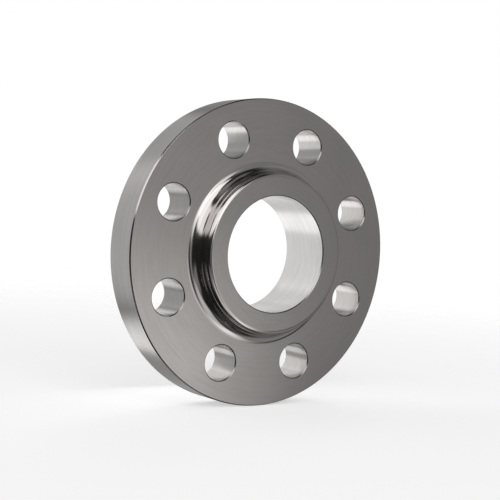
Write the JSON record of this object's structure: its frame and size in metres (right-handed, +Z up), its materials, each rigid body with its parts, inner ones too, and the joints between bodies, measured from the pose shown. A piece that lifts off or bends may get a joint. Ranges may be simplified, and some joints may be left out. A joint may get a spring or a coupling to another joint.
{
  "type": "hubbed slip-on pipe flange",
  "caption": "Round steel pipe flange with a short hub, a plain slip-on bore, a raised gasket face and a ring of bolt holes.",
  "frame": {"origin": "centre of the raised gasket face, on the pipe axis", "axes": "+Y along the pipe axis, out of the gasket face towards the mating flange; the hub and the pipe are on the -Y side; +Z up, midway between two bolt holes; the part stands with its axis level, as it sits in a level pipe"},
  "size_m": [0.165, 0.0333, 0.165],
  "materials": {
    "forged_steel": "fine-turned satin stainless steel, bright bore and holes"
  },
  "bodies": {
    "root": {"flange": "forged_steel"}
  },
  "joints": []
}
